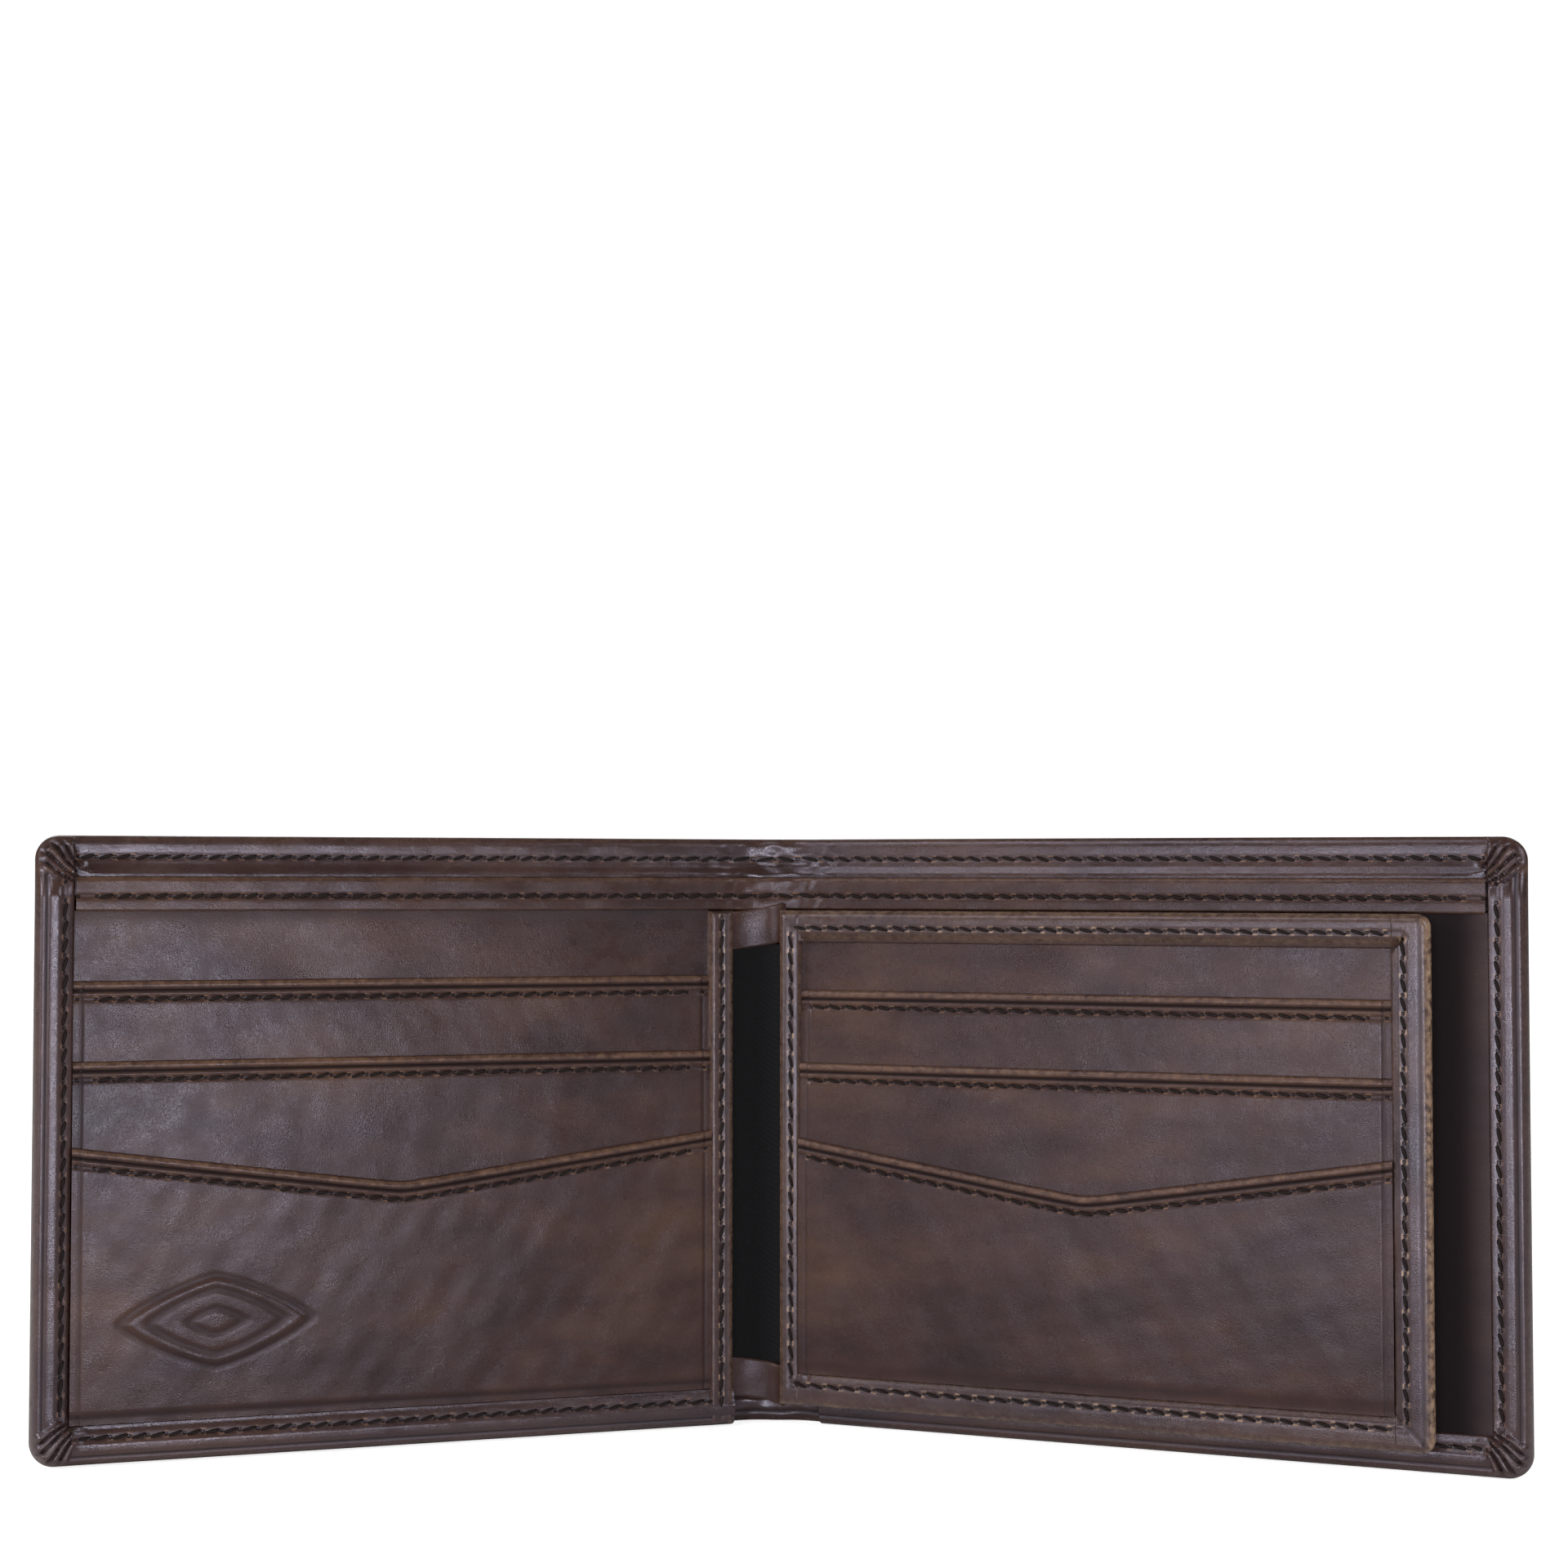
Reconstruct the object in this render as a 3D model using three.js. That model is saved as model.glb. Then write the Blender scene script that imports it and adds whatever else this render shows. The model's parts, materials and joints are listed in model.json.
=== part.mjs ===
// A bifold wallet with a turning centre flap, standing open on its lower edge.
// Millimetres, +Z up. The spine is at +Y and the card pockets face -Y.
//
// Each half is laid out flat: s is the distance from the spine's middle along the leather,
// z the height, and t the depth in front of the cover's outer face. A half is then turned
// about its own fold line, which lies in front of the leather, as a thick fold does.
import * as THREE from 'three';

// ---- driving dimensions ----
const HEIGHT = 90; // the cover's lower edge to its upper edge
const HALF_LENGTH = 110; // the spine's middle to a cover's outer edge
const CORNER_RADIUS = 3.5; // the cover's outer corners
const FOLD_OFFSET = 3; // each fold line from the spine's middle
const FOLD_DEPTH = 7.5; // the fold lines in front of the cover's outer face
const REST_TURN = THREE.MathUtils.degToRad(18.5); // each half from lying flat

const SPINE_COVER_HALF = 4.0; // the spine's strip of cover reaches this far to each side
const SPINE_INNER_HALF = 3.8; // and the layers in front of it this far
const HALF_START = 4.3; // where each half's own layers begin

const SIDE_HEM = 5.6; // turned edge at the outer side
const BOTTOM_HEM = 6.2; // turned edge at the foot
const TOP_HEM = 9; // turned edge at the top, behind the bill compartment
const STRIP_BASE = 79; // the inner top strip, which binds the bill compartment's front wall
const STRIP_TOP = 84;
const BAND_START = 5.6; // edge band of the left card panel, at its spine side
const BAND_WIDTH = 4;
const PIECE_GAP = 0.3; // between pieces that touch

const FLAP_START = 0.3; // the flap's spine-side edge
const FLAP_END = 97.1; // its free edge
const FLAP_FOOT = 3.5;
const FLAP_TOP = 79;
const FLAP_BINDING = { spine: 3.5, outer: 5.6, top: 5, foot: 5.2 };
const FLAP_CORNER_RADIUS = 1.7;

const SEAM_WIDTH = 0.5; // a run of thread, as one narrow strip
const SEAM_INSET = 4.2; // the outer seams from the cover's edge
const TOP_SEAM_INSET = 3.1; // the top hem's seam from the upper edge
const POCKET_SEAM_DROP = 2.6; // a pocket's seam below its mouth
const END_MARGIN = 0.8; // seams stop this far short of a piece's ends

// depth of each layer's back and front, in front of the cover's outer face
const LAYER = {
  cover: [0, 1.0],
  rearLining: [1.25, 1.5],
  topHem: [1.25, 1.85],
  spineFootHem: [1.25, 2.2],
  leftRim: [1.25, 5.6],
  rightRim: [1.25, 4.1],
  frontLining: [2.5, 2.75],
  innerPanel: [3.0, 3.6],
  topStrip: [3.0, 4.1],
  hingeFabric: [3.1, 3.4],
  hingeTab: [3.1, 3.7],
  edgeBand: [3.0, 5.7],
  leftPockets: [[3.85, 4.3], [4.55, 5.0], [5.25, 5.8]],
  flapBinding: [4.8, 7.9],
  flapBack: [4.8, 5.3],
  flapBase: [5.55, 6.0],
  flapPockets: [[6.25, 6.7], [6.95, 7.4], [7.65, 8.15]],
};
const THREAD_CLEARANCE = 0.25;
const THREAD_THICKNESS = 0.2;

// pocket mouths, upper to lower: height at the ends, height at the middle, and the piece's foot
const LEFT_POCKETS = [
  { name: 'upper', ends: 69, middle: 69, foot: 42 },
  { name: 'middle', ends: 57.5, middle: 57.5, foot: 30 },
  { name: 'lower', ends: 45.3, middle: 39.1, foot: BOTTOM_HEM + PIECE_GAP },
];
const FLAP_POCKETS = [
  { name: 'upper', ends: 66.8, middle: 66.8, foot: 40 },
  { name: 'middle', ends: 55.7, middle: 55.7, foot: 28 },
  { name: 'lower', ends: 44.2, middle: 37.4, foot: FLAP_FOOT + FLAP_BINDING.foot + PIECE_GAP },
];

// the flap's hinge strip, which joins it to the spine
const HINGE = { from: -3.9, to: -0.3, foot: 4.5, top: 78.7, tab: 6 };

// ---- materials ----
const FINISH = {
  cover_leather: { color: 0x4a3936, roughness: 0.42 },
  inner_leather: { color: 0x4d3c38, roughness: 0.46 },
  edge_leather: { color: 0x5c4740, roughness: 0.38 },
  lining_fabric: { color: 0x1b1c22, roughness: 0.8 },
  thread: { color: 0x3a2b22, roughness: 0.65 },
};

function material(slot) {
  return new THREE.MeshStandardMaterial({ name: slot, metalness: 0, ...FINISH[slot] });
}

// ---- outlines, in (s, z) ----
const CURVE_STEPS = 6; // straight steps in each rounded corner

function rectangle(s0, s1, z0, z1, radius = {}) {
  const { outerFoot = 0, outerTop = 0 } = radius;
  const shape = new THREE.Shape();
  shape.moveTo(s0, z0);
  shape.lineTo(s1 - outerFoot, z0);
  if (outerFoot) shape.absarc(s1 - outerFoot, z0 + outerFoot, outerFoot, -Math.PI / 2, 0, false);
  shape.lineTo(s1, z1 - outerTop);
  if (outerTop) shape.absarc(s1 - outerTop, z1 - outerTop, outerTop, 0, Math.PI / 2, false);
  shape.lineTo(s0, z1);
  shape.closePath();
  return shape;
}

// a pocket front, with a level mouth or one that dips to its middle
function pocketFront(s0, s1, pocket) {
  const middle = (s0 + s1) / 2;
  return new THREE.Shape([
    new THREE.Vector2(s0, pocket.foot),
    new THREE.Vector2(s1, pocket.foot),
    new THREE.Vector2(s1, pocket.ends),
    new THREE.Vector2(middle, pocket.middle),
    new THREE.Vector2(s0, pocket.ends),
  ]);
}

// a narrow strip of even width along a line of points
function strip(points, width = SEAM_WIDTH) {
  const at = points.map(([s, z]) => new THREE.Vector2(s, z));
  const normals = at.slice(1).map((end, i) => {
    const along = end.clone().sub(at[i]).normalize();
    return new THREE.Vector2(-along.y, along.x);
  });
  const offsets = at.map((_, i) => {
    const before = normals[Math.max(i - 1, 0)];
    const after = normals[Math.min(i, normals.length - 1)];
    const mitre = before.clone().add(after).normalize();
    return mitre.multiplyScalar(width / 2 / mitre.dot(after));
  });
  const near = at.map((point, i) => point.clone().add(offsets[i]));
  const far = at.map((point, i) => point.clone().sub(offsets[i]));
  return new THREE.Shape([...near, ...far.reverse()]);
}

// a closed rectangular ring of the same width
function ring(s0, s1, z0, z1, width = SEAM_WIDTH) {
  const shape = rectangle(s0, s1, z0, z1);
  const hole = rectangle(s0 + width, s1 - width, z0 + width, z1 - width);
  shape.holes.push(hole);
  return shape;
}

// ---- pieces ----
function mirrored(shape) {
  const flip = (points) => points.map((point) => new THREE.Vector2(-point.x, point.y));
  const { shape: outline, holes } = shape.extractPoints(CURVE_STEPS);
  const result = new THREE.Shape(flip(outline));
  result.holes = holes.map((hole) => new THREE.Path(flip(hole)));
  return result;
}

// one flat piece of leather, fabric or thread, cut to an outline
function piece(parent, name, slot, outline, [back, front]) {
  const shape = parent.userData.mirror ? mirrored(outline) : outline;
  const settings = { depth: front - back, bevelEnabled: false, curveSegments: CURVE_STEPS };
  const geometry = new THREE.ExtrudeGeometry(shape, settings);
  geometry.rotateX(Math.PI / 2);
  geometry.translate(0, -back, 0);
  const mesh = new THREE.Mesh(geometry, material(slot));
  mesh.name = name;
  parent.add(mesh);
}

// a run of thread, lying just in front of the face that it is sewn through
function seam(parent, name, outline, face) {
  const back = face + THREAD_CLEARANCE;
  piece(parent, name, 'thread', outline, [back, back + THREAD_THICKNESS]);
}

// pocket fronts between two ends, each with the seam under its mouth
function pockets(parent, prefix, fronts, layers, s0, s1) {
  fronts.forEach((front, i) => {
    piece(parent, `${prefix}_pocket_${front.name}`, 'inner_leather', pocketFront(s0, s1, front), layers[i]);
    const ends = front.ends - POCKET_SEAM_DROP;
    const line = [
      [s0 + END_MARGIN, ends],
      [(s0 + s1) / 2, front.middle - POCKET_SEAM_DROP],
      [s1 - END_MARGIN, ends],
    ];
    seam(parent, `${prefix}_pocket_${front.name}_thread`, strip(line), layers[i][1]);
  });
}

// ---- the spine, between the two fold lines ----
function buildSpine(parent) {
  const wide = SPINE_COVER_HALF;
  const inner = SPINE_INNER_HALF;
  const footTop = BOTTOM_HEM + PIECE_GAP;
  const hemFoot = HEIGHT - TOP_HEM;
  piece(parent, 'spine_cover', 'cover_leather', rectangle(-wide, wide, 0, HEIGHT), LAYER.cover);
  piece(parent, 'spine_top_hem', 'cover_leather', rectangle(-inner, inner, hemFoot, HEIGHT), LAYER.topHem);
  piece(parent, 'spine_bottom_hem', 'cover_leather', rectangle(-inner, inner, 0, BOTTOM_HEM),
    LAYER.spineFootHem);
  piece(parent, 'spine_rear_lining', 'lining_fabric',
    rectangle(-inner, inner, footTop, hemFoot - PIECE_GAP), LAYER.rearLining);
  piece(parent, 'spine_front_lining', 'lining_fabric',
    rectangle(-inner, inner, footTop, STRIP_TOP - 0.5), LAYER.frontLining);
  piece(parent, 'spine_top_strip', 'inner_leather', rectangle(-inner, inner, STRIP_BASE, STRIP_TOP),
    LAYER.topStrip);

  const { from, to, foot, top, tab } = HINGE;
  piece(parent, 'flap_hinge_fabric', 'lining_fabric',
    rectangle(from, to, foot + tab + PIECE_GAP, top - tab - PIECE_GAP), LAYER.hingeFabric);
  piece(parent, 'flap_hinge_tab_top', 'inner_leather', rectangle(from, to, top - tab, top), LAYER.hingeTab);
  piece(parent, 'flap_hinge_tab_bottom', 'inner_leather', rectangle(from, to, foot, foot + tab),
    LAYER.hingeTab);

  const across = (z) => strip([[-inner, z], [inner, z]]);
  seam(parent, 'spine_top_hem_thread', across(HEIGHT - TOP_SEAM_INSET), LAYER.topHem[1]);
  seam(parent, 'spine_top_strip_thread', across((STRIP_BASE + STRIP_TOP) / 2), LAYER.topStrip[1]);
}

// ---- what both halves have: cover, turned edges, linings, inner panel and top strip ----
function buildHalf(parent, side, rim, panelStart) {
  const hemStart = HALF_LENGTH - SIDE_HEM;
  const end = hemStart - PIECE_GAP;
  const footTop = BOTTOM_HEM + PIECE_GAP;
  const hemFoot = HEIGHT - TOP_HEM;
  const start = HALF_START;
  const rounded = { outerFoot: CORNER_RADIUS, outerTop: CORNER_RADIUS };
  piece(parent, `${side}_cover`, 'cover_leather',
    rectangle(start, HALF_LENGTH, 0, HEIGHT, rounded), LAYER.cover);
  piece(parent, `${side}_top_hem`, 'cover_leather', rectangle(start, end, hemFoot, HEIGHT), LAYER.topHem);
  piece(parent, `${side}_side_hem`, 'cover_leather',
    rectangle(hemStart, HALF_LENGTH, footTop, HEIGHT, { outerTop: CORNER_RADIUS }), rim);
  piece(parent, `${side}_bottom_hem`, 'cover_leather',
    rectangle(start, HALF_LENGTH, 0, BOTTOM_HEM, { outerFoot: CORNER_RADIUS }), rim);
  piece(parent, `${side}_rear_lining`, 'lining_fabric',
    rectangle(start, end, footTop, hemFoot - PIECE_GAP), LAYER.rearLining);
  piece(parent, `${side}_front_lining`, 'lining_fabric',
    rectangle(start, end, footTop, STRIP_TOP - 0.5), LAYER.frontLining);
  piece(parent, `${side}_inner_panel`, 'inner_leather',
    rectangle(panelStart, end, footTop, STRIP_BASE - PIECE_GAP), LAYER.innerPanel);
  piece(parent, `${side}_top_strip`, 'inner_leather', rectangle(start, end, STRIP_BASE, STRIP_TOP),
    LAYER.topStrip);

  const along = (z) => strip([[start + END_MARGIN, z], [end - END_MARGIN, z]]);
  seam(parent, `${side}_top_hem_thread`, along(HEIGHT - TOP_SEAM_INSET), LAYER.topHem[1]);
  seam(parent, `${side}_top_strip_thread`, along((STRIP_BASE + STRIP_TOP) / 2), LAYER.topStrip[1]);
  const outer = HALF_LENGTH - SEAM_INSET;
  const corner = [[outer, HEIGHT - SEAM_INSET], [outer, SEAM_INSET], [start + END_MARGIN, SEAM_INSET]];
  seam(parent, `${side}_outer_thread`, strip(corner), rim[1]);
}

// ---- the left card panel's pockets, and the band that binds its spine-side edge ----
function buildLeftPanel(parent) {
  const bandEnd = BAND_START + BAND_WIDTH;
  const footTop = BOTTOM_HEM + PIECE_GAP;
  const top = STRIP_BASE - PIECE_GAP;
  piece(parent, 'left_edge_band', 'edge_leather', rectangle(BAND_START, bandEnd, footTop, top),
    LAYER.edgeBand);
  const middle = bandEnd - 1.7;
  seam(parent, 'left_edge_band_thread',
    strip([[middle, footTop + END_MARGIN], [middle, top - END_MARGIN]]), LAYER.edgeBand[1]);
  pockets(parent, 'left', LEFT_POCKETS, LAYER.leftPockets,
    bandEnd + PIECE_GAP, HALF_LENGTH - SIDE_HEM - PIECE_GAP);
}

// ---- the centre flap, which lies on the right half ----
function buildFlap(parent) {
  const bind = FLAP_BINDING;
  const s0 = FLAP_START + bind.spine + PIECE_GAP;
  const s1 = FLAP_END - bind.outer - PIECE_GAP;
  const z0 = FLAP_FOOT + bind.foot + PIECE_GAP;
  const z1 = FLAP_TOP - bind.top - PIECE_GAP;
  const rounded = { outerFoot: FLAP_CORNER_RADIUS, outerTop: FLAP_CORNER_RADIUS };
  const bindings = {
    spine: rectangle(FLAP_START, FLAP_START + bind.spine, FLAP_FOOT, FLAP_TOP),
    outer: rectangle(FLAP_END - bind.outer, FLAP_END, FLAP_FOOT, FLAP_TOP, rounded),
    top: rectangle(s0, s1, FLAP_TOP - bind.top, FLAP_TOP),
    bottom: rectangle(s0, s1, FLAP_FOOT, FLAP_FOOT + bind.foot),
  };
  for (const [edge, outline] of Object.entries(bindings)) {
    piece(parent, `flap_binding_${edge}`, 'edge_leather', outline, LAYER.flapBinding);
  }
  piece(parent, 'flap_back', 'inner_leather', rectangle(s0, s1, z0, z1), LAYER.flapBack);
  piece(parent, 'flap_base', 'inner_leather', rectangle(s0, s1, z0, z1), LAYER.flapBase);
  pockets(parent, 'flap', FLAP_POCKETS, LAYER.flapPockets, s0, s1);
  seam(parent, 'flap_binding_thread',
    ring(FLAP_START + 1.9, FLAP_END - 4, FLAP_FOOT + 3.4, FLAP_TOP - 3.3), LAYER.flapBinding[1]);
}

// ---- assembly ----
// a half's group, in the flat layout's coordinates, turned about its fold line
function foldedHalf(parent, direction) {
  const pivot = new THREE.Group();
  pivot.position.set(direction * FOLD_OFFSET, -FOLD_DEPTH, 0);
  pivot.rotation.z = -direction * REST_TURN;
  const half = new THREE.Group();
  half.position.set(-direction * FOLD_OFFSET, FOLD_DEPTH, 0);
  half.userData.mirror = direction < 0;
  pivot.add(half);
  parent.add(pivot);
  return half;
}

const wallet = new THREE.Group();
const leather = new THREE.Group();
wallet.add(leather);

buildSpine(leather);
const leftHalf = foldedHalf(leather, -1);
buildHalf(leftHalf, 'left', LAYER.leftRim, BAND_START + BAND_WIDTH + PIECE_GAP);
buildLeftPanel(leftHalf);
const rightHalf = foldedHalf(leather, 1);
buildHalf(rightHalf, 'right', LAYER.rightRim, HALF_START);
buildFlap(rightHalf);

// the origin is the middle of the footprint, at the foot
const box = new THREE.Box3().setFromObject(wallet, true);
const centre = box.getCenter(new THREE.Vector3());
leather.position.set(-centre.x, -centre.y, -box.min.z);

export default wallet;
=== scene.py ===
import json
import math
import bmesh
import bpy
import numpy as np
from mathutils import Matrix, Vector


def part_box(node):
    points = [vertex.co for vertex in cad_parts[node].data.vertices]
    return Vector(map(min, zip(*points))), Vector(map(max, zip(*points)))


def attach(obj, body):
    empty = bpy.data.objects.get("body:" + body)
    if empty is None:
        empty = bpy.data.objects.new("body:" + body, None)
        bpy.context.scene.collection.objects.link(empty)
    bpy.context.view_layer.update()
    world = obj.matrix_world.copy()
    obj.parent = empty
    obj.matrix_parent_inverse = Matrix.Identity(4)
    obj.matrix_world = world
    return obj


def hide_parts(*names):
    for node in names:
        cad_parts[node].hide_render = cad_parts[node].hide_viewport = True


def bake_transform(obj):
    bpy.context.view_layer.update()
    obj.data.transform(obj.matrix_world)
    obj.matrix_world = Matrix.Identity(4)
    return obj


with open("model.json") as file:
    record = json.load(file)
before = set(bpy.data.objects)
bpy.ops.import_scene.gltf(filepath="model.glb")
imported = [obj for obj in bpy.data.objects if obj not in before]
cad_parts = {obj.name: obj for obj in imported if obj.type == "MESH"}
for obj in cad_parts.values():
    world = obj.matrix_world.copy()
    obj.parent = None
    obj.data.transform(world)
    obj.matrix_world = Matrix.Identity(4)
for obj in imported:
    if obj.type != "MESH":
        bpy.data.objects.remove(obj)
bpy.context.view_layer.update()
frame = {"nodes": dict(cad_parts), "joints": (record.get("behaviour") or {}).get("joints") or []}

# A leather bifold wallet. Each half is laid out flat, as it was sewn, and then turned about its fold:
# s is the distance from the spine's middle along the leather, t the depth in front of the cover's
# outer face, and z the height, all in metres.
MM = 0.001
JOINTS = {joint["name"]: joint for joint in frame["joints"]}
FOLD_X, FOLD_Y = JOINTS["right_fold"]["pos_m"][:2]
FOLD_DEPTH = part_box("spine_cover")[1][1] - FOLD_Y
REST_TURN = math.radians(-JOINTS["right_fold"]["range_deg"][0])
BEND_FROM, BEND_TO = 0.2 * MM, 5.2 * MM  # the stretch of each half that bends at its fold
SIDES = {"left": -1, "right": 1}
STITCH_PITCH = 2.6 * MM


# ---- the flat layout ----
def smooth(x, low, high):
    share = np.clip((x - low) / (high - low), 0, 1)
    return share * share * (3 - 2 * share)


def bend_share(s):
    return smooth(np.asarray(s, float), BEND_FROM, BEND_TO)


def place(side, s, t, z, turned=1.0):
    """A point of the flat layout in the row frame. turned is its share of the half's turn."""
    angle = REST_TURN * np.asarray(turned, float)
    along, behind = s - FOLD_X, FOLD_DEPTH - t
    x = FOLD_X + along * np.cos(angle) + behind * np.sin(angle)
    y = FOLD_Y + behind * np.cos(angle) - along * np.sin(angle)
    return np.stack(np.broadcast_arrays(side * x, y, z), axis=-1)


class Extent:
    """A CAD node's limits in its half's flat layout."""

    def __init__(self, node):
        side = -1 if node.startswith("left") else 1
        turn = 0.0 if node.startswith("spine") or "hinge" in node else REST_TURN
        points = np.array([v.co for v in frame["nodes"][node].data.vertices], float)
        dx, dy = side * points[:, 0] - FOLD_X, points[:, 1] - FOLD_Y
        s = FOLD_X + dx * math.cos(turn) - dy * math.sin(turn)
        t = FOLD_DEPTH - dx * math.sin(turn) - dy * math.cos(turn)
        self.s0, self.s1 = s.min(), s.max()
        self.t0, self.t1 = t.min(), t.max()
        self.z0, self.z1 = points[:, 2].min(), points[:, 2].max()
        middle = np.abs(s - (self.s0 + self.s1) / 2) < MM
        self.dip = points[middle, 2].max() if middle.any() else self.z1


# ---- surface shapes ----
def waves(s, z, seed, length=16 * MM):
    """Slow unevenness of a hide, from -1 to 1."""
    rng = np.random.RandomState(seed)
    total = np.zeros(np.broadcast(s, z).shape)
    for _ in range(7):
        heading, phase = rng.uniform(0, 2 * np.pi, 2)
        k = 2 * np.pi / (length * rng.uniform(0.6, 1.8))
        total += np.sin(k * (s * np.cos(heading) + z * np.sin(heading)) + phase)
    return total / 4.5


def ridge(distance, width):
    return np.exp(-((distance / width) ** 2))


def roll(inset, radius):
    """A rounded edge's profile: 0 at the very edge and 1 from one radius inwards."""
    share = np.clip(1 - inset / radius, 0, 1)
    return np.sqrt(1 - share * share)


def axis_lines(low, high, step, low_insets=(), high_insets=(), extra=()):
    """Grid lines from low to high, closer at the ends and near the extra places."""
    start = low + max(low_insets, default=0)
    end = high - max(high_insets, default=0)
    count = max(2, int(round((end - start) / step)) + 1)
    lines = np.concatenate([
        low + np.array(low_insets, float),
        high - np.array(high_insets, float),
        np.linspace(start, end, count),
        np.array([x for x in extra if low < x < high], float),
        [low, high],
    ])
    lines = np.unique(np.round(lines, 7))
    keep = np.concatenate([[True], np.diff(lines) > 0.02 * MM])
    return lines[keep]


EDGE_INSETS = np.array([0, 0.04, 0.11, 0.22, 0.38, 0.58, 0.82, 1.1, 1.4]) * MM


def hem_insets(width):
    """Insets across a turned edge: its roll, its face and its inner border."""
    face = np.arange(1.65, width / MM - 0.5, 0.27)
    border = width / MM + np.array([-0.5, -0.38, -0.27, -0.18, -0.1, -0.04, 0.0, 0.06, 0.3, 0.7])
    return np.concatenate([EDGE_INSETS, face * MM, border * MM])


def round_corner(S, Z, s_edge, z_edge, radius):
    """Bends the grid's rings round a corner: each ring keeps its inset from the outline."""
    across, up = np.abs(s_edge - S), np.abs(z_edge - Z)
    inset = np.minimum(across, up)
    along = np.abs(across - up)
    own = np.maximum(radius - inset, 0)
    inside = (along < own) & (own > 1e-9)
    part = np.where(inside, 1 - along / np.where(own > 0, own, 1), 0) * math.pi / 4
    angle = np.where(across <= up, part, math.pi / 2 - part)
    s_way = np.sign(s_edge - S.mean())
    z_way = np.sign(z_edge - Z.mean())
    s_new = s_edge - s_way * (inset + own) + s_way * own * np.cos(angle)
    z_new = z_edge - z_way * (inset + own) + z_way * own * np.sin(angle)
    return np.where(inside, s_new, S), np.where(inside, z_new, Z)


# ---- meshes ----
def add_mesh(name, points, faces, attributes=(), weld=False, flat=None):
    """An object from points and faces, with its faces outwards and its flat place stored."""
    mesh = bpy.data.meshes.new(name)
    mesh.from_pydata(points.tolist(), [], faces)
    for label, values in attributes:
        mesh.attributes.new(label, "FLOAT", "POINT").data.foreach_set("value", values.ravel())
    if flat is not None:
        store = mesh.attributes.new("flat_place", "FLOAT_VECTOR", "POINT")
        store.data.foreach_set("vector", flat.ravel())
    work = bmesh.new()
    work.from_mesh(mesh)
    if weld:
        bmesh.ops.remove_doubles(work, verts=work.verts, dist=1e-7)
        bmesh.ops.dissolve_degenerate(work, dist=1e-8, edges=work.edges)
    bmesh.ops.recalc_face_normals(work, faces=work.faces)
    if work.calc_volume(signed=True) < 0:
        bmesh.ops.reverse_faces(work, faces=work.faces)
    work.to_mesh(mesh)
    work.free()
    mesh.shade_smooth()
    mesh.set_sharp_from_angle(angle=math.radians(50))
    piece = bpy.data.objects.new(name, mesh)
    bpy.context.scene.collection.objects.link(piece)
    return piece


def closed_faces(rows, columns):
    """Faces of a front grid, of the back grid whose points follow it, and of the rim between them."""
    count = rows * columns
    index = np.arange(count).reshape(rows, columns)
    a, b = index[:-1, :-1].ravel(), index[1:, :-1].ravel()
    c, d = index[1:, 1:].ravel(), index[:-1, 1:].ravel()
    rim = np.concatenate([index[0, :], index[1:, -1], index[-1, -2::-1], index[-2:0:-1, 0]])
    after = np.roll(rim, -1)
    return np.concatenate([
        np.stack([a, b, c, d], 1),
        np.stack([d, c, b, a], 1) + count,
        np.stack([rim, after, after + count, rim + count], 1),
    ]).tolist()


def slab(name, side, S, Z, front, back, wear=None, groove=None, turned=None, seam=None, along=None):
    """A closed sheet over a grid of the flat layout, with its own front and back depths."""
    turned = np.ones_like(S) if turned is None else turned
    points = np.concatenate([
        place(side, S, front, Z, turned).reshape(-1, 3),
        place(side, S, back, Z, turned).reshape(-1, 3),
    ])
    zero = np.zeros_like(S)
    wear = zero if wear is None else wear
    groove = zero if groove is None else groove
    seam = zero if seam is None else seam
    along = zero if along is None else along / STITCH_PITCH
    attributes = [
        ("wear", np.concatenate([np.clip(wear, 0, 1), np.clip(wear, 0, 1)])),
        ("groove", np.concatenate([np.clip(groove, 0, 1), zero])),
        ("seam", np.concatenate([np.clip(seam, 0, 1), np.clip(seam, 0, 1)])),
        ("along", np.concatenate([along, along])),
    ]
    flat = np.concatenate([
        np.stack([side * S, Z, front], -1).reshape(-1, 3),
        np.stack([side * S, Z, back], -1).reshape(-1, 3),
    ])
    return add_mesh(name, points, closed_faces(*S.shape), attributes, weld=True, flat=flat)


def finish_piece(piece, material, nodes, body=None, bends=None):
    """Gives a piece its material, hides the nodes it stands for, and attaches it to the body it follows; a
    piece on a fold only has its transform baked.
    """
    piece.data.materials.append(material)
    if nodes:
        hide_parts(*nodes)
    if body:
        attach(piece, body)
    if bends:
        side_name, depth = bends
        side = SIDES[side_name]
        start = place(side, BEND_FROM, depth, 0.0, 0.0)
        end = place(side, BEND_TO, depth, 0.0, 1.0)
        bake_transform(piece)
    return piece


# ---- materials ----
def node_tools(name):
    material = bpy.data.materials.new(name)
    material.use_nodes = True
    tree = material.node_tree
    shader = tree.nodes["Principled BSDF"]

    def add(kind, **values):
        node = tree.nodes.new(kind)
        for key, value in values.items():
            setattr(node, key, value)
        return node

    def link(a, b):
        tree.links.new(a, b)

    return material, shader, add, link


def scaled_place(add, link, attribute, scale):
    """A mesh's flat layout place, or its own coordinates, in millimetres."""
    if attribute:
        source = add("ShaderNodeAttribute", attribute_name=attribute).outputs["Vector"]
    else:
        source = add("ShaderNodeTexCoord").outputs["Object"]
    mapping = add("ShaderNodeMapping")
    mapping.inputs["Scale"].default_value = (scale, scale, scale)
    link(source, mapping.inputs["Vector"])
    return mapping.outputs["Vector"]


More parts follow.
